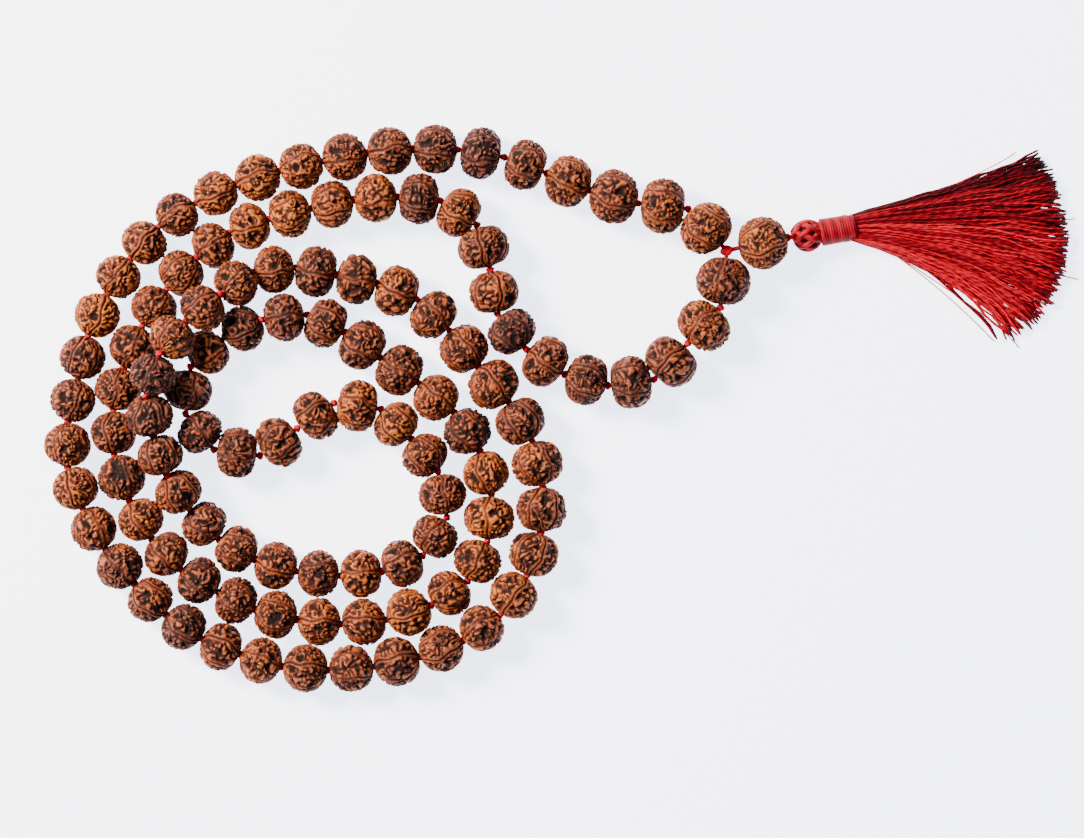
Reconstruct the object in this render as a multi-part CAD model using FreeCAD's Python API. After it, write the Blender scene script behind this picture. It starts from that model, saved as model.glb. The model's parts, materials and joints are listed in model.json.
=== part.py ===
import FreeCAD, Part
import math
import os

# A mala: 108 seed beads on a knotted cotton cord, a guru bead and a tassel, lying in a doubled
# loop on a table. Millimetres, +X to the tassel, +Z up, the table at Z = 0.

Vector = FreeCAD.Vector
UP = Vector(0, 0, 1)

# Beads. A bead is a bun, flatter along its bore: while the strand is laid, its skin is an arc
# about a ring of radius RING. It then fills out to the space between its knots.
BEADS = 108
BEAD_RADIUS = 3.95
END_SWELL = 0.55         # the beads beside the guru bead are the largest
END_FADE = 2.1           # how many beads that swelling fades over
LEFT_SHRINK = 0.15       # the beads round the far end are the smallest
LEFT_BEAD = 15
LEFT_FADE = 7
SIZE_SPREAD = 0.08       # seeds are never all one size
SIZE_STEP = 2.4
GURU_RADIUS = 4.45
GURU_HALF = 4.05         # half its length along the bore
RING = 0.7
BORE_RADIUS = 0.48
MOUTH_RADIUS = 1.0       # the dimple at each end that a knot sits in
MOUTH_DEPTH = 0.6

# Cord and knots.
CORD_RADIUS = 0.4
KNOT_RADIUS = 0.7
JUNCTION_RADIUS = 1.1
NECK_KNOT_RADIUS = 0.55
CORD_TURN = 0.9          # how far each side of a knot the cord starts to turn
KNOT_ROOM = 0.275        # least space from a knot's centre to a bead's face, as laid
FILL_OUT = 0.15          # how far into that space a bead may still fill out
KNOT_SLACK = 0.65        # how much more the cord gives between two knots
JUNCTION_ROOM = 0.875
GURU_ROOM = 1.75
GURU_MOUTH_ROOM = 0.05
SNUG = 0.01              # gap between a knot and the cord that it is tied in
SEAT = 0.03              # gap round a knot that another body turns about
CLEAR = 0.12             # least gap between beads that don't follow each other

# Tassel, from the knot at the guru bead's outer mouth.
HEAD_RADIUS = 2.75
HEAD_AHEAD = 3.2         # its centre from the knot; the head rests on the table
HEAD_ASIDE = 0.5
TASSEL_LEAN = 9.5        # degrees that the collar points away from +X
COLLAR_START = 2.15      # from the head's centre
COLLAR_LENGTH = 6.1
COLLAR_RADIUS = 2.45
COLLAR_LIP = 0.2
THREAD_LENGTH = 37.0
# Distance along the skirt, its middle's offset in Y, its width and its height.
SKIRT_SECTIONS = [
    (0.0, 0.0, 4.6, 4.5),
    (8.0, -0.2, 9.8, 4.2),
    (18.0, -1.6, 18.0, 3.6),
    (28.0, -3.6, 29.0, 3.0),
    (38.0, -4.8, 38.0, 2.6),
]

# The way the cord is laid: the junction knot, then every second knot round to it again.
ROUTE = [
    (28.8, 26.6, 4.4),
    (21.2, 31.2, 4.2), (4.0, 36.0, 4.0), (-10.5, 42.0, 4.0), (-25.5, 43.0, 4.0),
    (-40.0, 41.0, 4.0), (-54.5, 37.0, 4.0), (-67.0, 29.5, 4.0), (-75.5, 18.5, 4.0),
    (-81.0, 4.5, 4.0), (-82.0, -10.0, 4.0), (-76.0, -23.5, 4.0), (-66.0, -34.5, 4.0),
    (-54.0, -41.0, 4.0), (-40.0, -44.0, 4.0), (-24.5, -42.0, 4.0), (-10.0, -35.5, 4.0),
    (-3.0, -20.5, 4.0), (-5.0, -5.0, 4.0), (-14.5, 7.0, 4.0), (-24.5, 18.0, 4.0),
    (-38.5, 22.0, 4.0), (-51.5, 22.5, 5.0), (-62.0, 14.0, 8.0), (-69.0, 2.0, 9.0),
    (-66.0, -11.5, 8.0), (-58.0, -22.0, 5.0), (-44.5, -27.5, 4.0), (-30.0, -27.0, 4.0),
    (-19.5, -18.5, 4.0), (-25.5, -5.0, 4.0), (-38.5, 0.5, 4.0), (-52.0, -6.0, 4.0),
    (-61.5, -1.5, 4.0), (-55.5, 10.5, 4.0), (-44.0, 15.0, 4.0), (-31.0, 8.5, 4.0),
    (-18.5, -1.0, 4.0), (-12.0, -15.0, 4.0), (-16.0, -29.0, 4.0), (-29.5, -35.5, 4.0),
    (-44.5, -35.5, 4.0), (-58.0, -31.0, 5.0), (-68.5, -22.0, 6.0), (-75.0, -8.0, 6.5),
    (-74.0, 7.0, 6.5), (-66.5, 20.0, 6.0), (-55.5, 29.0, 5.0), (-42.5, 33.0, 4.0),
    (-27.5, 35.0, 4.0), (-14.5, 30.5, 4.0), (-11.0, 15.5, 4.0), (0.0, 5.5, 4.0),
    (15.0, 4.5, 4.0), (25.0, 18.0, 4.2),
]
GURU_KNOT = (37.9, 27.9, 4.5)
SHIFT = (0.6, 0.4, 0.0)  # puts the origin under the middle of everything

# Laying the strand: it is drawn to the route, sinks to the table, and its beads push apart.
LAY_STEPS = 800
LAY_PULL = 0.1
LAY_SINK = 0.03
LAY_FADE = 0.8
NEARBY = 22.0

# The free loop at the right lifts about these two knots.
HINGE_KNOTS = (5, 102)

# Beads with a node of their own, and the rows of the rest.
SINGLE_BEADS = list(range(1, 38)) + list(range(103, BEADS + 1))
BEAD_ROWS = [
    ("beads_row_inner_top", 38, 51),
    ("beads_row_inner_bottom", 52, 64),
    ("beads_row_middle", 65, 77),
    ("beads_row_lower", 78, 90),
    ("beads_row_upper", 91, 102),
]


def bead_radius(number):
    """Equatorial radius of a bead, counted from the guru bead."""
    from_end = min(number - 1, BEADS - number)
    swell = END_SWELL * math.exp(-(from_end / END_FADE) ** 2)
    shrink = LEFT_SHRINK * math.exp(-((number - LEFT_BEAD) / LEFT_FADE) ** 2)
    return BEAD_RADIUS + swell - shrink + SIZE_SPREAD * math.sin(SIZE_STEP * number)


def span(a, b):
    """Distance between two points kept as lists."""
    return math.sqrt((a[0] - b[0]) ** 2 + (a[1] - b[1]) ** 2 + (a[2] - b[2]) ** 2)


def between(a, b, part):
    """The point a part of the way from a to b."""
    return [a[n] + (b[n] - a[n]) * part for n in range(3)]


def respace(a, b, wanted):
    """Move two points along their line until they are as far apart as wanted."""
    distance = span(a, b)
    share = (wanted - distance) / distance / 2
    for n in range(3):
        step = (b[n] - a[n]) * share
        a[n] -= step
        b[n] += step


def all_knots():
    """Every knot where the route puts it: between two given ones, on a smooth curve."""
    knots = [list(ROUTE[0]), list(ROUTE[1])]
    around = ROUTE + ROUTE[:1]
    for n in range(2, len(ROUTE)):
        before, start, end, after = around[n - 2:n + 2]
        knots.append([(9 * (start[m] + end[m]) - before[m] - after[m]) / 16 for m in range(3)])
        knots.append(list(end))
    knots.append(list(GURU_KNOT))
    return [[knot[n] + SHIFT[n] for n in range(3)] for knot in knots]


def bead_runs():
    """For each bead: its two knots, the space it needs at each, its radius and half length."""
    runs = []
    for number in range(1, BEADS + 1):
        near = JUNCTION_ROOM if number == 1 else KNOT_ROOM
        far = JUNCTION_ROOM if number == BEADS else KNOT_ROOM
        radius = bead_radius(number)
        runs.append((number - 1, number % BEADS, near, far, radius, radius - RING))
    runs.append((0, BEADS, GURU_ROOM, GURU_MOUTH_ROOM, GURU_RADIUS, GURU_HALF))
    return runs


def bead_centre(knots, run):
    """Where a bead sits between its two knots."""
    start, end, near, far, radius, half = run
    return between(knots[start], knots[end], (near + half) / (near + far + 2 * half))


def neighbour_gap(knots, runs, i):
    """Space between bead i of the strand and the next where their skins are nearest."""
    one, shared, other = bead_centre(knots, runs[i]), knots[i + 1], bead_centre(knots, runs[i + 1])
    apart = span(one, other)
    along = span(one, shared) + span(shared, other)
    lean = math.sqrt(max(0.0, 1 - min(1.0, apart / along) ** 2))
    return apart - runs[i][5] - runs[i + 1][5] - 2 * RING * lean


def lay_strand():
    """The knots once the strand lies still, with every bead clear of the others."""
    knots = all_knots()
    laid = [list(knot) for knot in knots]
    runs = bead_runs()
    close = []
    for i in range(len(runs)):
        for j in range(i + 1, len(runs)):
            following = j == i + 1 and j < BEADS
            if not following and span(bead_centre(knots, runs[i]), bead_centre(knots, runs[j])) < NEARBY:
                close.append((i, j))
    for step in range(LAY_STEPS):
        fade = max(0.0, 1 - step / (LAY_STEPS * LAY_FADE))
        for knot, place in zip(knots, laid):
            knot[0] += (place[0] - knot[0]) * LAY_PULL * fade
            knot[1] += (place[1] - knot[1]) * LAY_PULL * fade
            knot[2] -= LAY_SINK * fade
        for start, end, near, far, radius, half in runs:
            shortest = near + far + 2 * half
            length = span(knots[start], knots[end])
            respace(knots[start], knots[end], min(max(length, shortest), shortest + KNOT_SLACK))
        for i in range(BEADS - 1):
            short = CLEAR - neighbour_gap(knots, runs, i)
            if short > 0:
                first, last = knots[i], knots[(i + 2) % BEADS]
                respace(first, last, span(first, last) + 2 * short)
        for i, j in close:
            one = bead_centre(knots, runs[i])
            other = bead_centre(knots, runs[j])
            distance = span(one, other)
            share = (runs[i][4] + runs[j][4] + CLEAR - distance) / distance / 2
            if share > 0:
                for n in range(3):
                    push = (other[n] - one[n]) * share
                    knots[runs[i][0]][n] -= push
                    knots[runs[i][1]][n] -= push
                    knots[runs[j][0]][n] += push
                    knots[runs[j][1]][n] += push
        for run in runs:
            short = run[4] - bead_centre(knots, run)[2]
            if short > 0:
                knots[run[0]][2] += short
                knots[run[1]][2] += short
    return knots, runs


def fill_out(knots, runs):
    """Half length of each bead once it fills the space that its knots and neighbours leave it.

    The beads beside the hinge knots stay as they were laid, or the loop could not lift.
    """
    gaps = [CLEAR if i + 1 in HINGE_KNOTS else neighbour_gap(knots, runs, i)
            for i in range(BEADS - 1)]
    halves = []
    for i in range(BEADS):
        start, end, near, far, radius, half = runs[i]
        spare = span(knots[start], knots[end]) / (near + far + 2 * half) - 1
        growth = FILL_OUT + (min(near, far) + half) * spare
        for gap in gaps[max(0, i - 1):i + 1]:
            growth = min(growth, (gap - CLEAR) / 2)
        halves.append(half + max(0.0, growth))
    return halves + [GURU_HALF]


def seed_bead(radius, half, centre, direction):
    """A bun turned round its bore: a round outside, and a mouth at each end for the knot."""
    arc_middle = Vector(radius, 0, 0)
    bottom = Vector(MOUTH_RADIUS, 0, -half)
    top = Vector(MOUTH_RADIUS, 0, half)
    bore_top = Vector(BORE_RADIUS, 0, half - MOUTH_DEPTH)
    bore_bottom = Vector(BORE_RADIUS, 0, MOUTH_DEPTH - half)
    outline = Part.Wire([
        Part.Arc(bottom, arc_middle, top).toShape(),
        Part.makeLine(top, bore_top),
        Part.makeLine(bore_top, bore_bottom),
        Part.makeLine(bore_bottom, bottom),
    ])
    bead = Part.Face(outline).revolve(Vector(0, 0, 0), UP, 360)
    bead.Placement = FreeCAD.Placement(centre, FreeCAD.Rotation(UP, direction))
    return bead


def corner_arc(before, corner, after):
    """The arc that takes the cord round one knot: its start, middle, end and radius."""
    back = (before - corner).normalize()
    ahead = (after - corner).normalize()
    turn = math.pi - back.getAngle(ahead)
    radius = CORD_TURN / math.tan(turn / 2)
    middle = corner + (back + ahead).normalize() * (radius / math.cos(turn / 2) - radius)
    return corner + back * CORD_TURN, middle, corner + ahead * CORD_TURN, radius


def cord_path(points):
    """Straight runs joined by arcs that touch them, and the radii of the arcs."""
    edges = []
    radii = []
    here = points[0]
    for before, corner, after in zip(points, points[1:], points[2:]):
        start, middle, end, radius = corner_arc(before, corner, after)
        edges.append(Part.LineSegment(here, start).toShape())
        edges.append(Part.Arc(start, middle, end).toShape())
        radii.append(radius)
        here = end
    edges.append(Part.LineSegment(here, points[-1]).toShape())
    return Part.Wire(edges), radii


def cord_tube(points, radius=CORD_RADIUS):
    """A cord of round section along its knots."""
    path, radii = cord_path(points)
    ring = Part.Wire(Part.makeCircle(radius, points[0], points[1] - points[0]))
    return path.makePipeShell([ring], True, False)


def check_cord(name, tube, points):
    """Print the cord's length and arcs, and its volume beside its section times its length."""
    path, radii = cord_path(points)
    expected = path.Length * math.pi * CORD_RADIUS ** 2
    print(name, "length", round(path.Length, 1), "arcs", round(min(radii), 2), "to",
          round(max(radii), 1), "volume", round(tube.Volume, 2), "expected", round(expected, 2))


def thread_knot(before, here, after, radius):
    """A round knot, its poles on the cord, with the way of the cord through it.

    The larger piece is the knot: the other, if there is one, is the core cut out of it.
    """
    middle = corner_arc(before, here, after)[1]
    ball = Part.makeSphere(radius)
    ball.Placement = FreeCAD.Placement(middle, FreeCAD.Rotation(UP, after - before))
    pieces = ball.cut(cord_tube([before, here, after], CORD_RADIUS + SNUG)).Solids
    return max(pieces, key=lambda piece: piece.Volume)


def ellipse_wire(centre, width, height):
    """An upright ellipse across the X axis, wider than high."""
    side = centre + Vector(0, width / 2, 0)
    top = centre + Vector(0, 0, height / 2)
    return Part.Wire(Part.Ellipse(side, top, centre).toShape())


def tassel_skirt(mouth):
    """The threads as one fan that lies on the table, its end cut to one thread length."""
    rings = []
    for along, aside, width, height in SKIRT_SECTIONS:
        centre = Vector(mouth.x + along, mouth.y + aside, height / 2)
        rings.append(ellipse_wire(centre, width, height))
    fan = Part.makeLoft(rings, True)
    reach = Part.makeCylinder(THREAD_LENGTH, 3 * COLLAR_RADIUS, Vector(mouth.x, mouth.y, -1))
    return fan.common(reach)


def tassel_parts(pivot):
    """Neck cord, head, collar and skirt, from the knot that they swing on."""
    head_centre = Vector(pivot.x + HEAD_AHEAD, pivot.y + HEAD_ASIDE, HEAD_RADIUS)
    lean = math.radians(TASSEL_LEAN)
    forward = Vector(math.cos(lean), math.sin(lean), 0)
    collar_start = head_centre + forward * COLLAR_START
    collar_start.z = COLLAR_RADIUS
    mouth = collar_start + forward * COLLAR_LENGTH
    collar = Part.makeCylinder(COLLAR_RADIUS, COLLAR_LENGTH, collar_start, forward)
    collar = collar.makeFillet(COLLAR_LIP, [edge for edge in collar.Edges if edge.Closed])
    flat = math.degrees(math.asin(COLLAR_START / HEAD_RADIUS))
    head = Part.makeSphere(HEAD_RADIUS, head_centre, forward, -90, flat)
    neck_way = (head_centre - pivot).normalize()
    neck_start = pivot + neck_way * (NECK_KNOT_RADIUS + SEAT)
    neck_length = (head_centre - neck_start).Length - HEAD_RADIUS
    neck = Part.makeCylinder(CORD_RADIUS, neck_length, neck_start, neck_way)
    skirt = tassel_skirt(mouth + forward * SNUG).cut(collar)
    return {"tassel_neck_cord": neck, "tassel_head": head, "tassel_collar": collar, "tassel_skirt": skirt}


def build():
    """Every node by name."""
    places, runs = lay_strand()
    knots = [Vector(*place) for place in places]
    nodes = {}
    beads = []
    for run, half in zip(runs, fill_out(places, runs)):
        axis = knots[run[1]] - knots[run[0]]
        centre = Vector(*bead_centre(places, run))
        beads.append((seed_bead(run[4], half, centre, axis), centre, axis.normalize()))
    for number in SINGLE_BEADS:
        nodes[f"bead_{number:03d}"] = beads[number - 1][0]
    for name, first, last in BEAD_ROWS:
        nodes[name] = Part.makeCompound([bead[0] for bead in beads[first - 1:last]])
    nodes["guru_bead"] = beads[-1][0]

    top_hinge, bottom_hinge = HINGE_KNOTS
    hinges = [Part.makeSphere(KNOT_RADIUS + SEAT, knots[n]) for n in HINGE_KNOTS]
    strand_way = knots[top_hinge:bottom_hinge + 1]
    loop_way = knots[bottom_hinge:BEADS] + knots[0:top_hinge + 1]
    strand_cord = cord_tube(strand_way)
    loop_cord = cord_tube(loop_way)
    check_cord("strand_cord", strand_cord, strand_way)
    check_cord("loop_cord", loop_cord, loop_way)
    nodes["strand_cord"] = strand_cord.cut(hinges)
    nodes["loop_cord"] = loop_cord.cut(hinges)

    turning_knots = [Part.makeSphere(KNOT_RADIUS, knots[n]) for n in HINGE_KNOTS]
    nodes["strand_knots"] = Part.makeCompound(turning_knots + [
        thread_knot(knots[n - 1], knots[n], knots[n + 1], KNOT_RADIUS)
        for n in range(top_hinge + 1, bottom_hinge)])
    nodes["loop_knots"] = Part.makeCompound(
        [thread_knot(knots[n - 1], knots[n], knots[(n + 1) % BEADS], KNOT_RADIUS)
         for n in list(range(bottom_hinge + 1, BEADS)) + list(range(1, top_hinge))])
    nodes["junction_knot"] = thread_knot(knots[BEADS - 1], knots[0], knots[1], JUNCTION_RADIUS)

    pivot = knots[BEADS]
    guru_run = pivot - knots[0]
    guru_cord = Part.makeCylinder(CORD_RADIUS, guru_run.Length, knots[0], guru_run)
    guru_cord = guru_cord.cut(Part.makeSphere(JUNCTION_RADIUS, knots[0]))
    nodes["guru_cord"] = guru_cord.cut(Part.makeSphere(NECK_KNOT_RADIUS + SEAT, pivot))
    nodes["neck_knot"] = Part.makeSphere(NECK_KNOT_RADIUS, pivot)
    nodes.update(tassel_parts(pivot))
    return nodes, knots, beads


nodes, knots, beads = build()
os.makedirs("parts", exist_ok=True)
for name, shape in nodes.items():
    shape.exportStep(f"parts/{name}.step")
box = Part.makeCompound(list(nodes.values())).BoundBox
print("nodes", len(nodes), "box", [round(value, 2) for value in
      (box.XMin, box.YMin, box.ZMin, box.XMax, box.YMax, box.ZMax)])
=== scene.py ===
import json
import math

import bpy
import numpy as np
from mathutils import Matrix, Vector


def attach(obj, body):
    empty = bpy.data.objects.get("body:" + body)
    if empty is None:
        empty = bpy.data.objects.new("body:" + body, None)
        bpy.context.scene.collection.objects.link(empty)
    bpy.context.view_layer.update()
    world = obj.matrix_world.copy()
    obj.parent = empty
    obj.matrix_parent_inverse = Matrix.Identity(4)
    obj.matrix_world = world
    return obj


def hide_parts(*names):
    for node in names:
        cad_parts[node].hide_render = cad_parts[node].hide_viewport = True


# A mala: 108 rudraksha seeds and a guru seed on a knotted red cotton cord, with a tassel of
# twisted red thread. Everything is in metres, in the frame of the CAD model.
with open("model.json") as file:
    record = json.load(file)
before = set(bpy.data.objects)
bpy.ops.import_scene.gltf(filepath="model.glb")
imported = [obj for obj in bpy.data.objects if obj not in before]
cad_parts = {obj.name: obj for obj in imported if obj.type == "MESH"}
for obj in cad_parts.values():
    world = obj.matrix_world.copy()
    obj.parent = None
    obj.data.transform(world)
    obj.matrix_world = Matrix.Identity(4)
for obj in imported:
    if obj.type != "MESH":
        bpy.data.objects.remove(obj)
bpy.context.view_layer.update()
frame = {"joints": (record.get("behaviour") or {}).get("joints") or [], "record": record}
joints = {joint["name"]: joint for joint in frame["joints"]}

MM = 0.001
UP = (0.0, 0.0, 1.0)

# Seeds: the same sizes as the CAD beads.
BEADS = 108
BEAD_RADIUS = 3.95 * MM
END_SWELL = 0.55 * MM     # the beads beside the guru bead are the largest
END_FADE = 2.1            # how many beads that swelling fades over
LEFT_SHRINK = 0.15 * MM   # the beads round the far end are the smallest
LEFT_BEAD = 15
LEFT_FADE = 7
SIZE_SPREAD = 0.08 * MM   # seeds are never all one size
SIZE_STEP = 2.4
GURU_RADIUS = 4.45 * MM
GURU_HALF = 4.05 * MM     # half its length along the bore
RING = 0.7 * MM
BORE_RADIUS = 0.48 * MM
MOUTH_RADIUS = 1.0 * MM   # the dimple at each end that a knot sits in
MOUTH_DEPTH = 0.6 * MM

# The rows of beads that share a CAD node: the first and the last of each.
BEAD_ROWS = {
    "beads_row_inner_top": (38, 51),
    "beads_row_inner_bottom": (52, 64),
    "beads_row_middle": (65, 77),
    "beads_row_lower": (78, 90),
    "beads_row_upper": (91, 102),
}

# Cord and knots.
CORD_RADIUS = 0.4 * MM
KNOT_RADIUS = 0.7 * MM
JUNCTION_RADIUS = 1.1 * MM
KNOT_ROOM = 0.275 * MM    # least space from a knot's centre to a bead's face, as laid
FILL_OUT = 0.15 * MM      # how far into that space a bead may still fill out
KNOT_SLACK = 0.65 * MM    # how much more the cord gives between two knots
JUNCTION_ROOM = 0.875 * MM
GURU_ROOM = 1.75 * MM
GURU_MOUTH_ROOM = 0.05 * MM
CLEAR = 0.12 * MM         # least gap between beads
HINGE_KNOTS = (5, 102)    # the free loop lifts about these

# Tassel, from the knot at the guru bead's outer mouth.
HEAD_RADIUS = 2.75 * MM
HEAD_AHEAD = 3.2 * MM     # its centre from the knot
HEAD_ASIDE = 0.5 * MM
TASSEL_LEAN = math.radians(9.5)
COLLAR_START = 2.15 * MM  # from the head's centre
COLLAR_LENGTH = 6.1 * MM
COLLAR_RADIUS = 2.45 * MM

# The cord's route: the junction knot, then every second knot round to it again.
ROUTE = [
    (0.0288, 0.0266, 0.0044),
    (0.0212, 0.0312, 0.0042), (0.0040, 0.0360, 0.0040), (-0.0105, 0.0420, 0.0040),
    (-0.0255, 0.0430, 0.0040), (-0.0400, 0.0410, 0.0040), (-0.0545, 0.0370, 0.0040),
    (-0.0670, 0.0295, 0.0040), (-0.0755, 0.0185, 0.0040), (-0.0810, 0.0045, 0.0040),
    (-0.0820, -0.0100, 0.0040), (-0.0760, -0.0235, 0.0040), (-0.0660, -0.0345, 0.0040),
    (-0.0540, -0.0410, 0.0040), (-0.0400, -0.0440, 0.0040), (-0.0245, -0.0420, 0.0040),
    (-0.0100, -0.0355, 0.0040), (-0.0030, -0.0205, 0.0040), (-0.0050, -0.0050, 0.0040),
    (-0.0145, 0.0070, 0.0040), (-0.0245, 0.0180, 0.0040), (-0.0385, 0.0220, 0.0040),
    (-0.0515, 0.0225, 0.0050), (-0.0620, 0.0140, 0.0080), (-0.0690, 0.0020, 0.0090),
    (-0.0660, -0.0115, 0.0080), (-0.0580, -0.0220, 0.0050), (-0.0445, -0.0275, 0.0040),
    (-0.0300, -0.0270, 0.0040), (-0.0195, -0.0185, 0.0040), (-0.0255, -0.0050, 0.0040),
    (-0.0385, 0.0005, 0.0040), (-0.0520, -0.0060, 0.0040), (-0.0615, -0.0015, 0.0040),
    (-0.0555, 0.0105, 0.0040), (-0.0440, 0.0150, 0.0040), (-0.0310, 0.0085, 0.0040),
    (-0.0185, -0.0010, 0.0040), (-0.0120, -0.0150, 0.0040), (-0.0160, -0.0290, 0.0040),
    (-0.0295, -0.0355, 0.0040), (-0.0445, -0.0355, 0.0040), (-0.0580, -0.0310, 0.0050),
    (-0.0685, -0.0220, 0.0060), (-0.0750, -0.0080, 0.0065), (-0.0740, 0.0070, 0.0065),
    (-0.0665, 0.0200, 0.0060), (-0.0555, 0.0290, 0.0050), (-0.0425, 0.0330, 0.0040),
    (-0.0275, 0.0350, 0.0040), (-0.0145, 0.0305, 0.0040), (-0.0110, 0.0155, 0.0040),
    (0.0000, 0.0055, 0.0040), (0.0150, 0.0045, 0.0040), (0.0250, 0.0180, 0.0042),
]
GURU_KNOT = (0.0379, 0.0279, 0.0045)
SHIFT = (0.0006, 0.0004, 0.0)  # puts the origin under the middle of everything

# Laying the strand: it is drawn to the route, sinks to the table, and its beads push apart.
LAY_STEPS = 800
LAY_PULL = 0.1
LAY_SINK = 0.03 * MM
LAY_FADE = 0.8
NEARBY = 22 * MM


def place_camera():
    """A camera that looks straight down from 0.8 m above the beads."""
    height = 0.8
    view_width = 0.18067
    middle = (-0.0030, -0.0016)
    sensor = 36
    camera = bpy.data.objects.new("camera", bpy.data.cameras.new("camera"))
    camera.data.sensor_width = sensor
    camera.data.lens = sensor * height / view_width
    camera.location = (*middle, height + BEAD_RADIUS)
    bpy.context.scene.collection.objects.link(camera)
    bpy.context.scene.camera = camera


def bead_radius(number):
    """Equatorial radius of a bead, counted from the guru bead."""
    from_end = min(number - 1, BEADS - number)
    swell = END_SWELL * math.exp(-(from_end / END_FADE) ** 2)
    shrink = LEFT_SHRINK * math.exp(-((number - LEFT_BEAD) / LEFT_FADE) ** 2)
    return BEAD_RADIUS + swell - shrink + SIZE_SPREAD * math.sin(SIZE_STEP * number)


def span(a, b):
    """Distance between two points kept as lists."""
    return math.sqrt((a[0] - b[0]) ** 2 + (a[1] - b[1]) ** 2 + (a[2] - b[2]) ** 2)


def between(a, b, part):
    """The point a part of the way from a to b."""
    return [a[n] + (b[n] - a[n]) * part for n in range(3)]


def respace(a, b, wanted):
    """Move two points along their line until they are as far apart as wanted."""
    distance = span(a, b)
    share = (wanted - distance) / distance / 2
    for n in range(3):
        step = (b[n] - a[n]) * share
        a[n] -= step
        b[n] += step


def all_knots():
    """Every knot where the route puts it: between two given ones, on a smooth curve."""
    knots = [list(ROUTE[0]), list(ROUTE[1])]
    around = ROUTE + ROUTE[:1]
    for n in range(2, len(ROUTE)):
        before, start, end, after = around[n - 2:n + 2]
        knots.append([(9 * (start[m] + end[m]) - before[m] - after[m]) / 16 for m in range(3)])
        knots.append(list(end))
    knots.append(list(GURU_KNOT))
    return [[knot[n] + SHIFT[n] for n in range(3)] for knot in knots]


def bead_runs():
    """For each bead: its two knots, the space it needs at each, its radius and half length."""
    runs = []
    for number in range(1, BEADS + 1):
        near = JUNCTION_ROOM if number == 1 else KNOT_ROOM
        far = JUNCTION_ROOM if number == BEADS else KNOT_ROOM
        radius = bead_radius(number)
        runs.append((number - 1, number % BEADS, near, far, radius, radius - RING))
    runs.append((0, BEADS, GURU_ROOM, GURU_MOUTH_ROOM, GURU_RADIUS, GURU_HALF))
    return runs


def bead_centre(knots, run):
    """Where a bead sits between its two knots."""
    start, end, near, far, radius, half = run
    return between(knots[start], knots[end], (near + half) / (near + far + 2 * half))


def neighbour_gap(knots, runs, i):
    """Space between bead i of the strand and the next where their skins are nearest."""
    one, shared, other = bead_centre(knots, runs[i]), knots[i + 1], bead_centre(knots, runs[i + 1])
    apart = span(one, other)
    along = span(one, shared) + span(shared, other)
    lean = math.sqrt(max(0.0, 1 - min(1.0, apart / along) ** 2))
    return apart - runs[i][5] - runs[i + 1][5] - 2 * RING * lean


def lay_strand():
    """The knots once the strand lies still, with every bead clear of the others."""
    knots = all_knots()
    laid = [list(knot) for knot in knots]
    runs = bead_runs()
    close = []
    for i in range(len(runs)):
        for j in range(i + 1, len(runs)):
            following = j == i + 1 and j < BEADS
            if not following and span(bead_centre(knots, runs[i]), bead_centre(knots, runs[j])) < NEARBY:
                close.append((i, j))
    for step in range(LAY_STEPS):
        fade = max(0.0, 1 - step / (LAY_STEPS * LAY_FADE))
        for knot, place in zip(knots, laid):
            knot[0] += (place[0] - knot[0]) * LAY_PULL * fade
            knot[1] += (place[1] - knot[1]) * LAY_PULL * fade
            knot[2] -= LAY_SINK * fade
        for start, end, near, far, radius, half in runs:
            shortest = near + far + 2 * half
            length = span(knots[start], knots[end])
            respace(knots[start], knots[end], min(max(length, shortest), shortest + KNOT_SLACK))
        for i in range(BEADS - 1):
            short = CLEAR - neighbour_gap(knots, runs, i)
            if short > 0:
                first, last = knots[i], knots[(i + 2) % BEADS]
                respace(first, last, span(first, last) + 2 * short)
        for i, j in close:
            one = bead_centre(knots, runs[i])
            other = bead_centre(knots, runs[j])
            distance = span(one, other)
            share = (runs[i][4] + runs[j][4] + CLEAR - distance) / distance / 2
            if share > 0:
                for n in range(3):
                    push = (other[n] - one[n]) * share
                    knots[runs[i][0]][n] -= push
                    knots[runs[i][1]][n] -= push
                    knots[runs[j][0]][n] += push
                    knots[runs[j][1]][n] += push
        for run in runs:
            short = run[4] - bead_centre(knots, run)[2]
            if short > 0:
                knots[run[0]][2] += short
                knots[run[1]][2] += short
    return knots, runs


def fill_out(knots, runs):
    """Half length of each bead once it fills the space that its knots and neighbours leave it.

    The beads beside the hinge knots stay as they were laid, or the loop could not lift.
    """
    gaps = [CLEAR if i + 1 in HINGE_KNOTS else neighbour_gap(knots, runs, i)
            for i in range(BEADS - 1)]
    halves = []
    for i in range(BEADS):
        start, end, near, far, radius, half = runs[i]
        spare = span(knots[start], knots[end]) / (near + far + 2 * half) - 1
        growth = FILL_OUT + (min(near, far) + half) * spare
        for gap in gaps[max(0, i - 1):i + 1]:
            growth = min(growth, (gap - CLEAR) / 2)
        halves.append(half + max(0.0, growth))
    return halves + [GURU_HALF]


# ---- surfaces ----

def smooth_step(low, high, value):
    """0 below low, 1 above high, and an S-shaped rise between them."""
    t = np.clip((value - low) / (high - low), 0, 1)
    return t * t * (3 - 2 * t)


def wave_field(points, wavelength, waves, chance):
    """A lumpy field of spread 1: plane waves of about one wavelength, in random directions."""
    ways = chance.normal(size=(waves, 3))
    ways /= np.linalg.norm(ways, axis=1, keepdims=True)
    ways *= 2 * np.pi / (wavelength * chance.uniform(0.8, 1.25, (waves, 1)))
    phases = chance.uniform(0, 2 * np.pi, waves)
    return np.cos(points @ ways.T + phases).sum(axis=-1) * math.sqrt(2 / waves)


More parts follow.
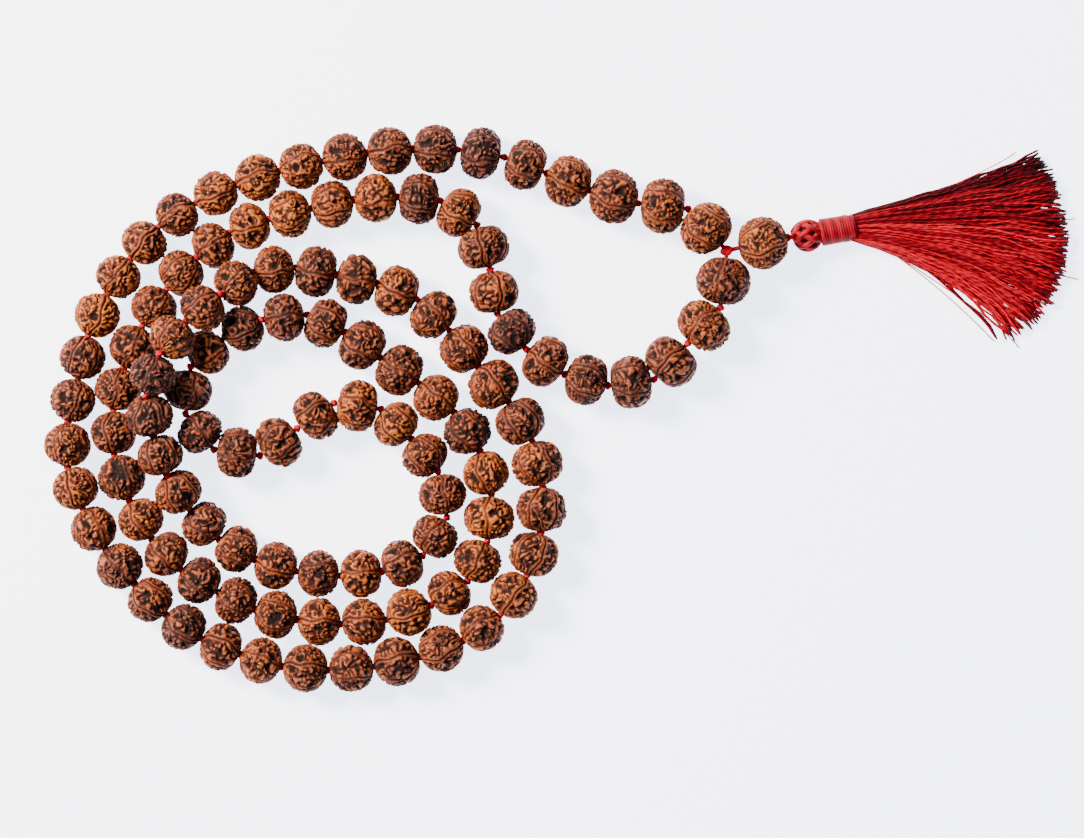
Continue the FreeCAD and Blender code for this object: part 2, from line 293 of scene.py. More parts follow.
def tube_faces(rows, columns, joined=False, start=0):
    """Quads of a grid of points that closes on itself sideways, and end to end if joined."""
    row = np.arange(rows if joined else rows - 1)[:, None]
    column = np.arange(columns)[None, :]
    above = (row + 1) % rows
    beside = (column + 1) % columns
    corners = (row * columns + column, row * columns + beside,
               above * columns + beside, above * columns + column)
    return np.stack(np.broadcast_arrays(*corners), axis=-1).reshape(-1, 4) + start


def frames_along(path):
    """At each point of a path two unit directions square to it, turning as little as they can."""
    ahead = np.gradient(path, axis=0)
    ahead /= np.linalg.norm(ahead, axis=1, keepdims=True)
    side = np.empty_like(path)
    start = np.cross(ahead[0], UP)
    side[0] = start / np.linalg.norm(start)
    for n in range(1, len(path)):
        carried = side[n - 1] - ahead[n] * np.dot(side[n - 1], ahead[n])
        side[n] = carried / np.linalg.norm(carried)
    return side, np.cross(ahead, side)


def swept(path, across, upward, reach, around):
    """Rings of points round a path; their reach may vary along it and round it."""
    return (path[:, None] + (reach * np.cos(around))[..., None] * across[:, None]
            + (reach * np.sin(around))[..., None] * upward[:, None])


def turned(base, axis, flat, rise, around):
    """Points turned round an axis: flat is how far from it they are, and rise how far along it."""
    side = np.cross(axis, UP)
    side /= np.linalg.norm(side)
    upward = np.cross(side, axis)
    return (base + (flat * np.cos(around))[..., None] * side
            + (flat * np.sin(around))[..., None] * upward + rise[..., None] * axis)


def round_angles(sides):
    """Angles of the points of one ring, as a row."""
    return np.linspace(0, 2 * np.pi, sides, endpoint=False)[None, :]


def new_piece(name, points, faces, material, body, node, values, corner_uv=None):
    """A mesh of quads with its point values, riding on a body in place of its CAD node."""
    mesh = bpy.data.meshes.new(name)
    mesh.vertices.add(len(points))
    mesh.vertices.foreach_set("co", points.astype(np.float32).ravel())
    mesh.loops.add(faces.size)
    mesh.loops.foreach_set("vertex_index", faces.astype(np.int32).ravel())
    mesh.polygons.add(len(faces))
    mesh.polygons.foreach_set("loop_start", np.arange(0, faces.size, 4, dtype=np.int32))
    mesh.update(calc_edges=True)
    mesh.polygons.foreach_set("use_smooth", np.ones(len(faces), dtype=bool))
    for label, numbers in values.items():
        layer = mesh.attributes.new(label, "FLOAT", "POINT")
        layer.data.foreach_set("value", np.broadcast_to(numbers, len(points)).astype(np.float32))
    if corner_uv is not None:
        layer = mesh.uv_layers.new(name="thread")
        layer.data.foreach_set("uv", corner_uv.astype(np.float32).ravel())
    mesh.validate()
    mesh.materials.append(material)
    piece = bpy.data.objects.new(name, mesh)
    bpy.context.scene.collection.objects.link(piece)
    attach(piece, body)
    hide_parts(node)


# ---- materials ----

def linear(colour):
    """Linear colour with alpha from an sRGB hex value."""
    channels = [int(colour[n:n + 2], 16) / 255 for n in (1, 3, 5)]
    return [c / 12.92 if c <= 0.04045 else ((c + 0.055) / 1.055) ** 2.4 for c in channels] + [1.0]


def add(tree, kind, links=None, **settings):
    """A node with its settings; links maps an input to a value, or to (node, output)."""
    node = tree.nodes.new(kind)
    for name, value in settings.items():
        setattr(node, name, value)
    for name, value in (links or {}).items():
        if isinstance(value, tuple) and isinstance(value[0], bpy.types.Node):
            tree.links.new(value[0].outputs[value[1]], node.inputs[name])
        else:
            node.inputs[name].default_value = value
    return node


def ramp(tree, source, stops):
    """Colour ramp from (position, hex) stops."""
    node = add(tree, "ShaderNodeValToRGB", {"Fac": source})
    elements = node.color_ramp.elements
    while len(elements) < len(stops):
        elements.new(0.5)
    for element, (position, colour) in zip(elements, stops):
        element.position = position
        element.color = linear(colour)
    return node


def new_material(name):
    """An empty node material, its tree and its shader."""
    material = bpy.data.materials.new(name)
    material.use_nodes = True
    return material, material.node_tree, material.node_tree.nodes["Principled BSDF"]


def rudraksha_seed():
    """Rudraksha stone, dried and oiled: near-black furrows and warm brown ridges, partly its own colour
    and partly painted shade in the furrows and a painted highlight on the ridge tops.
    """
    material, tree, shader = new_material("rudraksha_seed")
    place = add(tree, "ShaderNodeTexCoord")
    relief = add(tree, "ShaderNodeAttribute", attribute_name="relief")
    tone = add(tree, "ShaderNodeAttribute", attribute_name="tone")
    # Woody grains about 0.3 mm across.
    grain = add(tree, "ShaderNodeTexNoise", {"Vector": (place, "Object"), "Scale": 1 / (0.6 * MM),
                                             "Detail": 4.0, "Roughness": 0.65})
    patches = add(tree, "ShaderNodeTexNoise", {"Vector": (place, "Object"), "Scale": 1 / (3.5 * MM),
                                               "Detail": 1.0})
    grained = add(tree, "ShaderNodeMath", {0: (grain, "Fac"), 1: 0.5}, operation="SUBTRACT")
    height = add(tree, "ShaderNodeMath", {0: (grained, 0), 1: 0.9, 2: (relief, "Fac")},
                 operation="MULTIPLY_ADD")
    # From furrow to ridge top the ramps go from near-black to light brown: partly the seed's own colour,
    # partly painted shade in the furrows and a painted highlight on the ridge tops.
    brown = ramp(tree, (height, 0), [(0.0, "#120402"), (0.3, "#300E06"), (0.5, "#541F0B"),
                                     (0.75, "#7E3612"), (1.0, "#A05222")])
    dark = ramp(tree, (height, 0), [(0.0, "#0C0303"), (0.35, "#220A07"), (0.6, "#40160C"),
                                    (0.85, "#622A1A"), (1.0, "#7C3E2A")])
    golden = ramp(tree, (height, 0), [(0.0, "#160502"), (0.25, "#3C1204"), (0.48, "#6E2E09"),
                                      (0.75, "#984A12"), (1.0, "#BC6A22")])
    mottled = add(tree, "ShaderNodeMath", {0: (patches, "Fac"), 1: 0.7, 2: (tone, "Fac")},
                  operation="MULTIPLY_ADD")
    darker = add(tree, "ShaderNodeMapRange", {"Value": (mottled, 0), "From Min": 0.45,
                                              "From Max": 0.85})
    lighter = add(tree, "ShaderNodeMapRange", {"Value": (mottled, 0), "From Min": 0.95,
                                               "From Max": 1.3})
    browns = add(tree, "ShaderNodeMix", {"Factor": (darker, 0), 6: (dark, 0), 7: (brown, 0)},
                 data_type="RGBA")
    colour = add(tree, "ShaderNodeMix", {"Factor": (lighter, 0), 6: (browns, 2), 7: (golden, 0)},
                 data_type="RGBA")
    rough = add(tree, "ShaderNodeMapRange", {"Value": (height, 0), "To Min": 0.95, "To Max": 0.45})
    bump = add(tree, "ShaderNodeBump", {"Height": (grain, "Fac"), "Strength": 0.8,
                                        "Distance": 0.15 * MM})
    tree.links.new(colour.outputs[2], shader.inputs["Base Color"])
    tree.links.new(rough.outputs[0], shader.inputs["Roughness"])
    tree.links.new(bump.outputs[0], shader.inputs["Normal"])
    shader.inputs["Specular IOR Level"].default_value = 0.3
    return material


def red_cotton():
    """Mercerised cotton cord, twisted: matt crimson, with painted shade in the lines between its plies.
    """
    material, tree, shader = new_material("red_cotton_cord")
    place = add(tree, "ShaderNodeTexCoord")
    ply = add(tree, "ShaderNodeAttribute", attribute_name="ply")
    fibres = add(tree, "ShaderNodeTexNoise", {"Vector": (place, "Object"), "Scale": 1 / (0.35 * MM),
                                              "Detail": 3.0})
    # The ply value paints shade into the grooves between the plies; the fibre noise adds a fleck.
    shade = add(tree, "ShaderNodeMath", {0: (fibres, "Fac"), 1: 0.5, 2: (ply, "Fac")},
                operation="MULTIPLY_ADD")
    colour = ramp(tree, (shade, 0), [(0.2, "#5A000A"), (0.6, "#AC0018"), (1.0, "#D00028")])
    bump = add(tree, "ShaderNodeBump", {"Height": (fibres, "Fac"), "Strength": 0.5,
                                        "Distance": 0.08 * MM})
    tree.links.new(colour.outputs[0], shader.inputs["Base Color"])
    tree.links.new(bump.outputs[0], shader.inputs["Normal"])
    shader.inputs["Roughness"].default_value = 0.8
    shader.inputs["Specular IOR Level"].default_value = 0.1
    return material


def red_thread():
    """Twisted viscose tassel thread: bright red, with painted shade between its plies, and darker at its
    cut tips.
    """
    material, tree, shader = new_material("red_tassel_thread")
    uv = add(tree, "ShaderNodeUVMap", uv_map="thread")
    shade = add(tree, "ShaderNodeAttribute", attribute_name="shade")
    along = add(tree, "ShaderNodeAttribute", attribute_name="along")
    split = add(tree, "ShaderNodeSeparateXYZ", {"Vector": (uv, "UV")})
    # The stripe darkens the grooves of the twist: painted shade.
    turned = add(tree, "ShaderNodeMath", {0: (split, 0), 1: (split, 1)}, operation="ADD")
    angle = add(tree, "ShaderNodeMath", {0: (turned, 0), 1: 2 * math.pi}, operation="MULTIPLY")
    stripe = add(tree, "ShaderNodeMath", {0: (angle, 0)}, operation="SINE")
    brightness = add(tree, "ShaderNodeMath", {0: (stripe, 0), 1: 0.12, 2: (shade, "Fac")},
                     operation="MULTIPLY_ADD")
    reds = ramp(tree, (brightness, 0), [(0.0, "#180005"), (0.3, "#340009"), (0.6, "#740014"),
                                        (0.85, "#AC001C"), (1.0, "#C80028")])
    tips = add(tree, "ShaderNodeMapRange", {"Value": (along, "Fac"), "From Min": 0.955,
                                            "From Max": 1.0, "To Max": 0.7})
    colour = add(tree, "ShaderNodeMix", {"Factor": (tips, 0), 6: (reds, 0), 7: linear("#2C1018")},
                 data_type="RGBA")
    bump = add(tree, "ShaderNodeBump", {"Height": (stripe, 0), "Strength": 0.5,
                                        "Distance": 0.05 * MM})
    tree.links.new(colour.outputs[2], shader.inputs["Base Color"])
    tree.links.new(bump.outputs[0], shader.inputs["Normal"])
    shader.inputs["Roughness"].default_value = 0.6
    shader.inputs["Specular IOR Level"].default_value = 0.12
    return material


def white_table():
    """Opal white acrylic, matt, with painted light: it glows though it is no lamp."""
    material, tree, shader = new_material("white_table")
    place = add(tree, "ShaderNodeTexCoord")
    cloud = add(tree, "ShaderNodeTexNoise", {"Vector": (place, "Object"), "Scale": 12.0})
    colour = ramp(tree, (cloud, "Fac"), [(0.3, "#F6F7F9"), (0.7, "#FAFBFC")])
    tree.links.new(colour.outputs[0], shader.inputs["Base Color"])
    shader.inputs["Roughness"].default_value = 0.8
    # Painted light: the bluish glow brightens the background, washes out the shadows and tints them
    # blue.
    shader.inputs["Emission Color"].default_value = linear("#DCE8FF")
    shader.inputs["Emission Strength"].default_value = 4.2
    return material


# ---- seeds ----

SEED_COLUMNS = 126
SEED_ROWS = 54
BORE_ROWS = 4
FACES_OF_SEED = 5         # a five-faced rudraksha has five lines from mouth to mouth
FURROW_DEPTH = 0.5 * MM
HOLLOW_DEPTH = 0.3 * MM
LIP_WIDTH = 0.6 * MM
LINE_WIDTH = 0.17 * MM
FULLNESS = 0.4 * MM       # the most a seed's flank bulges beyond its plain arc
SKIN = 0.04 * MM          # how far the ridges stand out elsewhere
LUMP = 0.05 * MM
FINENESS_BY_GURU = 0.72   # the large seeds have the finest relief for their size
FINENESS = (0.78, 1.0)


def seed_relief(local, around, along, radius, fineness, chance):
    """Height of a seed's skin, 0 in a furrow to 1 on a ridge, and how far it is hollowed.

    The ridges are the places where a warped lumpy field is far from zero, so its zero lines
    become winding furrows, and a finer field breaks the ridges into grains. Hollows are where a
    coarser field is high. All three fields shrink with fineness. Along each of the five lines
    the skin rises to two smooth lips, and the line itself is a narrow groove.
    """
    warp = np.stack([wave_field(local, 2.6 * MM, 12, chance) for axis in range(3)], axis=-1)
    warped = (local + 0.22 * MM * warp) / fineness
    winding = np.abs(wave_field(warped, chance.uniform(1.5, 2.0) * MM, 36, chance))
    grains = wave_field(warped, 0.95 * MM, 36, chance)
    hollows = smooth_step(0.8, 1.9, wave_field(warped, 2.2 * MM, 24, chance))
    ridges = smooth_step(0.03, chance.uniform(0.55, 0.9), winding)
    ridges = ridges * (0.3 + 0.7 * smooth_step(-0.9, 0.3, grains)) * (1 - 0.7 * hollows)
    wander = 0.10 * np.sin(2.6 * along + chance.uniform(0, 6)) + 0.05 * np.sin(7 * along)
    face = 2 * np.pi / FACES_OF_SEED
    turn = (around + wander) / face
    aside = np.abs(turn - np.round(turn)) * face * radius * np.cos(1.35 * along)
    strength = chance.uniform(0.55, 1.0)
    lips = strength * np.exp(-(aside / LIP_WIDTH) ** 4)
    groove = strength * np.exp(-(aside / LINE_WIDTH) ** 2)
    height = (ridges * (1 - lips) + 0.88 * lips) * (1 - 0.95 * groove)
    return height, hollows * (1 - lips)


def bulges(centres, radii):
    """How far each flank may bulge: half the way to the nearest seed that isn't next on the cord."""
    apart = np.linalg.norm(centres[:, None] - centres[None], axis=-1)
    room = (apart - radii[:, None] - radii[None]) / 2
    number = np.arange(len(radii))
    steps = np.abs(number[:, None] - number[None])
    both_on_strand = np.maximum(number[:, None], number[None]) < BEADS
    room[(steps == 0) | ((steps == 1) & both_on_strand)] = FULLNESS
    return np.clip(room.min(axis=1), 0, FULLNESS)


def seed_points(centre, axis, radius, half, bulge, fineness, chance):
    """One seed: an arc turned round its bore, cut back by its relief, with the bore inside.

    The arc passes through both mouths and the equator, and its flanks bulge a little more, level
    with the table. Rows run over the outside from mouth to mouth and back through the bore, so
    that the grid closes on itself both ways.
    """
    rise = radius - MOUTH_RADIUS
    arc = (rise * rise + half * half) / (2 * rise)
    out = radius - arc
    around = round_angles(SEED_COLUMNS)
    along = np.linspace(-1, 1, SEED_ROWS)[:, None]
    along, around = np.broadcast_arrays(along, around)
    meridian = along * math.atan2(half, MOUTH_RADIUS - out)
    flat = out + arc * np.cos(meridian)
    local = np.stack([flat * np.cos(around), flat * np.sin(around), arc * np.sin(meridian)], axis=-1)
    normal = np.stack([np.cos(meridian) * np.cos(around), np.cos(meridian) * np.sin(around),
                       np.sin(meridian)], axis=-1)
    height, hollow = seed_relief(local, around, along, radius, fineness, chance)
    skin = smooth_step(0.0, 0.1, 1 - np.abs(along))
    depth = (FURROW_DEPTH * (1 - height) + HOLLOW_DEPTH * hollow) * skin
    lumps = np.clip(wave_field(local, 5 * MM, 10, chance), -1.5, 1.5)
    roll = chance.uniform(0, 2 * np.pi)
    flank = smooth_step(0.0, 0.55, 1 - np.abs(along)) * np.cos(around - roll) ** 2
    swell = (SKIN * (1 - flank) + bulge * flank + LUMP * lumps) * skin
    outside = local + normal * (swell - depth)[..., None]

    bore_z = np.linspace(half - MOUTH_DEPTH, MOUTH_DEPTH - half, BORE_ROWS)[:, None]
    bore_turn = np.broadcast_to(around[:1], (BORE_ROWS, SEED_COLUMNS))
    bore = np.stack([BORE_RADIUS * np.cos(bore_turn), BORE_RADIUS * np.sin(bore_turn),
                     np.broadcast_to(bore_z, bore_turn.shape)], axis=-1)
    points = np.concatenate([outside, bore]).reshape(-1, 3)
    # relief also sets the colour: grooves and hollows come out darker, partly painted shade, and the
    # bore is painted dark, painted shade inside it.
    relief = np.concatenate([(height - 0.25 * hollow) * skin + 0.3 * (1 - skin),
                             np.full((BORE_ROWS, SEED_COLUMNS), 0.1)]).ravel()

    side = np.cross(axis, UP)
    side /= np.linalg.norm(side)
    upward = np.cross(side, axis)
    first = side * math.cos(roll) + upward * math.sin(roll)
    second = np.cross(axis, first)
    return points @ np.stack([first, second, axis]) + centre, relief


def make_seeds(knots, runs, material):
    """All 109 seeds, each riding on its own body or on its row's."""
    node_body = {node: body for body, nodes in frame["record"]["behaviour"]["bodies"].items()
                 for node in nodes}
    faces = tube_faces(SEED_ROWS + BORE_ROWS, SEED_COLUMNS, joined=True)
    centres = np.array([bead_centre(knots, run) for run in runs])
    bulge = bulges(centres, np.array([run[4] for run in runs]))
    for number, (run, half) in enumerate(zip(runs, fill_out(knots, runs)), start=1):
        chance = np.random.default_rng(1000 + number)
        axis = np.array(knots[run[1]]) - np.array(knots[run[0]])
        axis /= np.linalg.norm(axis)
        by_guru = min(number - 1, abs(BEADS - number)) < 2
        fineness = FINENESS_BY_GURU if by_guru else chance.uniform(*FINENESS)
        points, relief = seed_points(centres[number - 1], axis, run[4], half, bulge[number - 1],
                                     fineness, chance)
        name = "guru_seed" if number > BEADS else f"seed_{number:03d}"
        node = "guru_bead" if number > BEADS else f"bead_{number:03d}"
        for row, (first, last) in BEAD_ROWS.items():
            if first <= number <= last:
                node = row
        tone = chance.beta(2.2, 2.2)
        new_piece(name, points, faces, material, node_body[node], node,
                  {"relief": relief, "tone": tone})


# ---- cord and knots ----

CORD_STEP = 0.35 * MM
CORD_SIDES = 9
CORD_SOFTNESS = 5         # how many steps a bend is averaged over
PLY_PITCH = 2.2 * MM
PLIES = 3
KNOT_ROWS = 11
KNOT_COLUMNS = 14


def along_knots(points):
    """Even steps along straight runs between knots, softened by averaging neighbours."""
    points = np.array(points)
    lengths = np.concatenate([[0], np.cumsum(np.linalg.norm(np.diff(points, axis=0), axis=1))])
    steps = np.linspace(0, lengths[-1], int(lengths[-1] / CORD_STEP) + 2)
    path = np.stack([np.interp(steps, lengths, points[:, n]) for n in range(3)], axis=-1)
    edge = CORD_SOFTNESS // 2
    padded = np.pad(path, ((edge, edge), (0, 0)), mode="edge")
    window = np.ones(CORD_SOFTNESS) / CORD_SOFTNESS
    soft = np.stack([np.convolve(padded[:, n], window, mode="valid") for n in range(3)], axis=-1)
    soft[0], soft[-1] = path[0], path[-1]
    return soft


def twisted_cord(path):
    """Three plies twisted together, as a tube whose radius swells three times round.

    The swelling turns with the distance along the path, once in each pitch, and both ends are
    drawn to a point.
    """
    across, upward = frames_along(path)
    distance = np.concatenate([[0], np.cumsum(np.linalg.norm(np.diff(path, axis=0), axis=1))])
    around = round_angles(CORD_SIDES)
    lobes = np.cos(PLIES * (around - 2 * np.pi * distance[:, None] / PLY_PITCH))
    reach = CORD_RADIUS * (0.92 + 0.08 * lobes)
    reach[0] = reach[-1] = 0.02 * CORD_RADIUS
    points = swept(path, across, upward, reach, around)
    # The ply values darken the grooves between the plies: painted shade.
    return points.reshape(-1, 3), (0.35 + 0.25 * lobes).ravel()


def tied_knot(centre, axis, radius, turn):
    """A pulled-tight overhand knot: a ball with two plies wound round it aslant.

    The ball's radius rises and falls with twice the longitude plus three times the latitude.
    """
    latitude = np.linspace(-np.pi / 2, np.pi / 2, KNOT_ROWS)[:, None]
    longitude = round_angles(KNOT_COLUMNS)
    winding = np.cos(2 * longitude + 3 * latitude + turn) * np.cos(latitude)
    reach = radius * (0.94 + 0.13 * winding)
    points = turned(centre, axis, reach * np.cos(latitude), 0.9 * reach * np.sin(latitude),
                    longitude)
    # The ply values darken the knot where the winding sinks: painted shade.
    return points.reshape(-1, 3), (0.42 + 0.3 * winding).ravel()


def make_knots(name, knots, which, radius, material, body, node):
    """A row of knots as one piece."""
    points, ply, faces = [], [], []
    for n in which:
        here = np.array(knots[n])
        after = np.array(knots[(n + 1) % BEADS] if n < BEADS else knots[n])
        before = np.array(knots[(n - 1) % BEADS] if n < BEADS else knots[0])
        axis = (after - before) / np.linalg.norm(after - before)
        knot_points, knot_ply = tied_knot(here, axis, radius, 1.7 * n)
        faces.append(tube_faces(KNOT_ROWS, KNOT_COLUMNS, start=sum(map(len, points))))
        points.append(knot_points)
        ply.append(knot_ply)
    new_piece(name, np.concatenate(points), np.concatenate(faces), material, body,
              node, {"ply": np.concatenate(ply)})


def make_cord(name, knots, material, body, node):
    """One stretch of cord through its knots."""
    points, ply = twisted_cord(along_knots(knots))
    faces = tube_faces(len(points) // CORD_SIDES, CORD_SIDES)
    new_piece(name, points, faces, material, body, node, {"ply": ply})


# ---- tassel ----

THREADS = 520
THREAD_RINGS = 16
THREAD_SIDES = 4
THREAD_RADIUS = 0.2 * MM
STRAY_RADIUS = 0.1 * MM
THREAD_TWIST = 1.6 * MM   # length of one turn of a thread's plies
LONGEST_THREAD = 37 * MM
MOUTH_HALF = 2.2 * MM     # half the skirt's width where it leaves the collar
TUCKED_IN = 0.8 * MM      # length of the skirt inside the collar

# The fan in degrees: its middle, its edge at the collar, and how far its edge opens and its
# middle sinks by the tips.
FAN_MIDDLE = 0.8
FAN_EDGE = 14.0
FAN_OPENS = 8.5
FAN_SINKS = 7.5

# Strays in mm from the collar's mouth: where each one bends, and where it ends.
STRAYS = [
    (22, 8.8, 27.7, 12.7),
    (11, -6.0, 24.2, -19.1),
    (23, -14, 28.3, -20.2),
    (34, 1.0, 37.6, 1.6),
    (33, -7.5, 38.2, -8.6),
]


def thread_uv(rings, sides, length, start=0.0):
    """For each quad's corners: once round the thread, and turns of twist along it."""
    row = np.arange(rings - 1)[:, None, None]
    column = np.arange(sides)[None, :, None]
    across = np.array([0, 1, 1, 0]) + column
    along = np.array([0, 0, 1, 1]) + row
    turns = start + along * length / (rings - 1) / THREAD_TWIST
    uv = np.stack(np.broadcast_arrays(across / sides, turns), -1)
    return uv.reshape(-1, 2)


def thread_tube(path, radius):
    """A round thread along a path, its first ring and its cut end drawn in."""
    ahead = np.gradient(path, axis=0)
    ahead /= np.linalg.norm(ahead, axis=1, keepdims=True)
    side = np.cross(ahead, UP)
    side /= np.linalg.norm(side, axis=1, keepdims=True)
    reach = np.full((len(path), 1), radius)
    reach[0] = reach[-1] = 0.05 * radius
    points = swept(path, side, np.cross(ahead, side), reach, round_angles(THREAD_SIDES))
    return points.reshape(-1, 3)


def fan_path(mouth, rank, level, length, t, chance):
    """A skirt thread from the collar's mouth.

    rank -1 to 1 is its place across the fan and level -1 to 1 its place in the heap. It leaves
    along a ray whose angle grows with the distance, strays from its place, and waves a little
    more towards its tip. The heap thins out towards the tips.
    """
    place = rank + chance.normal(0, 0.13) * t ** 1.5
    angle = np.radians(FAN_MIDDLE + FAN_EDGE * place + (FAN_OPENS * place - FAN_SINKS) * t)
    wave = 0.42 * MM * t * np.sin(chance.uniform(9, 26) * t + chance.uniform(0, 6.3))
    heap = (4.4 - 2.0 * t) * MM
    x = mouth[0] + length * t * np.cos(angle) - wave * np.sin(angle)
    y = mouth[1] + MOUTH_HALF * rank + length * t * np.sin(angle) + wave * np.cos(angle)
    z = THREAD_RADIUS + (level + 1) / 2 * (heap - 2 * THREAD_RADIUS)
    return np.stack([x, y, z + 0.12 * MM * np.sin(14 * t + 5 * rank)], axis=-1)


def make_skirt(mouth, material):
    """The skirt's threads, and the fine strays that have come away from it.

    Threads at the fan's edges are shorter. The upper edge and the bottom of the heap are painted darker:
    painted shade.
    The last ring lies close behind the tip, so that a thread ends blunt.
    """
    chance = np.random.default_rng(77)
    t = np.append(0.988 * np.linspace(0, 1, THREAD_RINGS - 1) ** 0.9, 1.0)
    points, faces, uv, shade, along = [], [], [], [], []
    quads = tube_faces(THREAD_RINGS, THREAD_SIDES)

    def lay_thread(path, radius, tint, length):
        faces.append(quads + THREAD_RINGS * THREAD_SIDES * len(points))
        points.append(thread_tube(path, radius))
        uv.append(thread_uv(THREAD_RINGS, THREAD_SIDES, length, chance.uniform()))
        shade.append(np.full(THREAD_RINGS * THREAD_SIDES, tint))
        along.append(np.repeat(t, THREAD_SIDES))

    for thread in range(THREADS):
        rank = chance.uniform(-1, 1)
        level = chance.uniform(-1, 1) * math.sqrt(1 - 0.75 * rank * rank)
        length = LONGEST_THREAD - (4.5 * rank ** 2 - 0.9 * rank * abs(rank)) * MM
        length -= abs(chance.normal(0, 1.5)) * MM
        path = fan_path(mouth, rank, level, length, t, chance)
        # Painted shade: threads low in the heap and towards the upper edge come out darker; the normal
        # term is a random spread.
        tint = 0.50 - 0.26 * rank + 0.20 * level + chance.normal(0, 0.15)
        lay_thread(path, THREAD_RADIUS * chance.uniform(0.8, 1.15), tint, length)
    for bend_x, bend_y, end_x, end_y in STRAYS:
        bend = np.array([bend_x, bend_y]) * MM
        end = np.array([end_x, end_y]) * MM
        flat = bend * (2.2 * (1 - t) * t)[:, None] + end * (t ** 2)[:, None]
        level = 0.3 * MM + 1.6 * MM * (1 - t)
        path = np.column_stack([mouth[0] + flat[:, 0], mouth[1] + flat[:, 1], level])
        lay_thread(path, STRAY_RADIUS, 1.0, np.linalg.norm(end))
    new_piece("skirt_threads", np.concatenate(points), np.concatenate(faces), material, "tassel",
              "tassel_skirt",
              {"shade": np.concatenate(shade), "along": np.concatenate(along)}, np.concatenate(uv))


def make_head(centre, forward, material):
    """The wound head: one thick thread woven round a ball, over and under itself.

    The thread goes seven times up and down while it goes five times round, and its distance
    from the centre rises and falls so that it passes over and under where it crosses itself.
    """
    rings, sides = 420, 8
    leads, bights = 5, 7
    thick = 0.42 * MM
    turn = np.linspace(0, 2 * np.pi * leads, rings, endpoint=False)
    latitude = math.radians(68) * np.sin(turn * bights / leads)
    out = HEAD_RADIUS - thick * (1.0 - 0.35 * np.cos(2 * turn * bights / leads + turn))
    side = np.cross(forward, UP)
    upward = np.cross(side, forward)
    way = ((np.cos(latitude) * np.cos(turn))[:, None] * side
           + (np.cos(latitude) * np.sin(turn))[:, None] * upward
           + np.sin(latitude)[:, None] * forward)
    path = centre + out[:, None] * way
    ahead = np.roll(path, -1, axis=0) - np.roll(path, 1, axis=0)
    ahead /= np.linalg.norm(ahead, axis=1, keepdims=True)
    across = np.cross(ahead, way)
    across /= np.linalg.norm(across, axis=1, keepdims=True)
    outward = np.cross(across, ahead)
    # The thread is wound flat: wider than it is high.
    weave = swept(path, 1.15 * across, outward, thick, round_angles(sides)).reshape(-1, 3)
    weave_uv = thread_uv(rings + 1, sides, 2 * np.pi * HEAD_RADIUS * leads * 1.04)

    rows, columns = 14, 28
    core = HEAD_RADIUS - 1.6 * thick
    latitude = np.linspace(-np.pi / 2, np.pi / 2, rows)[:, None]
    ball = turned(centre, forward, core * np.cos(latitude), core * np.sin(latitude),
                  round_angles(columns)).reshape(-1, 3)
    ball_uv = thread_uv(rows, columns, 20 * MM)
    faces = [tube_faces(rings, sides, joined=True), tube_faces(rows, columns, start=len(weave))]
    # The core ball under the weave is painted dark: painted shade in the gaps between the windings.
    shade = np.concatenate([np.full(len(weave), 0.68), np.full(len(ball), 0.2)])
    new_piece("wound_head", np.concatenate([weave, ball]), np.concatenate(faces), material,
              "tassel", "tassel_head", {"shade": shade, "along": 0.0},
              np.concatenate([weave_uv, ball_uv]))


def make_collar(start, forward, material):
    """The wrapped collar: thread wound side by side, seen as a fine screw of rounded ridges.

    Its radius is a slow taper plus the height of a rounded ridge that climbs one thread's width
    in each turn, and a raised band of extra turns stands near its outer end.
    """
    rows, columns = 130, 64
    wrap = 0.42 * MM
    along = np.linspace(0, COLLAR_LENGTH, rows)[:, None]
    around = round_angles(columns)
    ridge = np.abs(np.sin(np.pi * along / wrap + around / 2)) ** 0.7
    share = along / COLLAR_LENGTH
    band = np.exp(-((share - 0.72) / 0.07) ** 2) - 0.6 * np.exp(-((share - 0.86) / 0.05) ** 2)
    rounding = smooth_step(0, 0.05, share) * smooth_step(0, 0.05, 1 - share)
    reach = COLLAR_RADIUS - (0.12 + 0.14 * share - 0.10 * band) * MM + 0.09 * MM * (ridge - 1)
    reach = reach * (0.85 + 0.15 * rounding)
    reach[0] = reach[-1] = 0.02 * MM
    points = turned(start, forward, reach, along, around).reshape(-1, 3)
    # Painted shade: the grooves between the wound turns come out darker than the ridges.
    shade = (0.65 + 0.14 * (ridge - 0.7)).ravel()
    new_piece("collar_wrapping", points, tube_faces(rows, columns), material, "tassel",
              "tassel_collar", {"shade": shade, "along": 0.0},
              thread_uv(rows, columns, COLLAR_LENGTH))


def make_tassel(material):
    """Head, collar and skirt, placed from the knot that the tassel swings on.

    Gives back that knot's place and the head's.
    """
    pivot = np.array(joints["tassel_swing"]["pos_m"])
    forward = np.array([math.cos(TASSEL_LEAN), math.sin(TASSEL_LEAN), 0.0])
    head = np.array([pivot[0] + HEAD_AHEAD, pivot[1] + HEAD_ASIDE, HEAD_RADIUS])
    collar = head + forward * COLLAR_START
    collar[2] = COLLAR_RADIUS
    make_head(head, forward, material)
    make_collar(collar, forward, material)
    make_skirt(collar + forward * (COLLAR_LENGTH - TUCKED_IN), material)
    return pivot, head


# ---- table and light ----

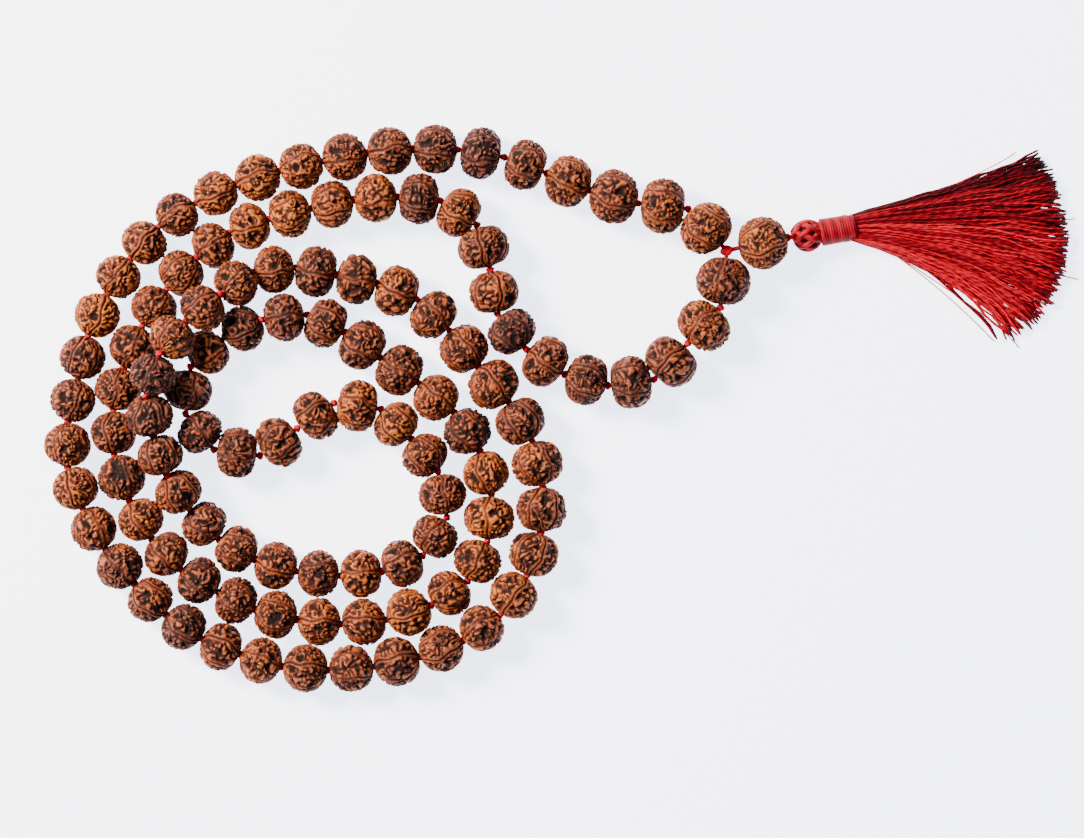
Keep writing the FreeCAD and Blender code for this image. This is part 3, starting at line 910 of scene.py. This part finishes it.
def area_light(name, place, target, size, power, colour):
    """A soft square light that looks at a point."""
    light = bpy.data.objects.new(name, bpy.data.lights.new(name, "AREA"))
    light.data.size = size
    light.data.energy = power
    light.data.color = linear(colour)[:3]
    light.location = place
    light.rotation_euler = (Vector(target) - Vector(place)).to_track_quat("-Z", "Y").to_euler()
    bpy.context.scene.collection.objects.link(light)


def make_studio():
    """A white table, one soft key light from the upper left and an even pale sky."""
    reach = 1.5
    corners = [(-reach, -reach, 0), (reach, -reach, 0), (reach, reach, 0), (-reach, reach, 0)]
    mesh = bpy.data.meshes.new("table")
    mesh.from_pydata(corners, [], [(0, 1, 2, 3)])
    mesh.materials.append(white_table())
    table = bpy.data.objects.new("table", mesh)
    bpy.context.scene.collection.objects.link(table)
    area_light("key", place=(-0.62, 0.34, 0.60), target=(0, 0, 0), size=0.3, power=34,
               colour="#FFF0DC")
    world = bpy.data.worlds.new("studio")
    world.use_nodes = True
    background = world.node_tree.nodes["Background"]
    background.inputs["Color"].default_value = linear("#E6EEFF")
    background.inputs["Strength"].default_value = 0.42
    bpy.context.scene.world = world


place_camera()
make_studio()
cotton = red_cotton()
thread = red_thread()
knots, runs = lay_strand()
make_seeds(knots, runs, rudraksha_seed())

# The free loop runs from the second hinge knot through the junction knot to the first.
top_hinge, bottom_hinge = HINGE_KNOTS
make_cord("strand_cotton", knots[top_hinge:bottom_hinge + 1], cotton, "strand", "strand_cord")
make_cord("loop_cotton", knots[bottom_hinge:BEADS] + knots[0:top_hinge + 1], cotton, "end_loop",
          "loop_cord")
make_knots("strand_ties", knots, range(top_hinge, bottom_hinge + 1), KNOT_RADIUS, cotton, "strand",
           "strand_knots")
make_knots("loop_ties", knots, [*range(1, top_hinge), *range(bottom_hinge + 1, BEADS)],
           KNOT_RADIUS, cotton, "end_loop", "loop_knots")
make_knots("junction_tie", knots, [0], JUNCTION_RADIUS, cotton, "end_loop", "junction_knot")
make_knots("neck_tie", knots, [BEADS], KNOT_RADIUS, cotton, "tassel_neck", "neck_knot")
pivot, head = make_tassel(thread)
make_cord("guru_cotton", [knots[0], knots[BEADS]], cotton, "end_loop", "guru_cord")
make_cord("neck_cotton", [pivot, head], cotton, "tassel", "tassel_neck_cord")
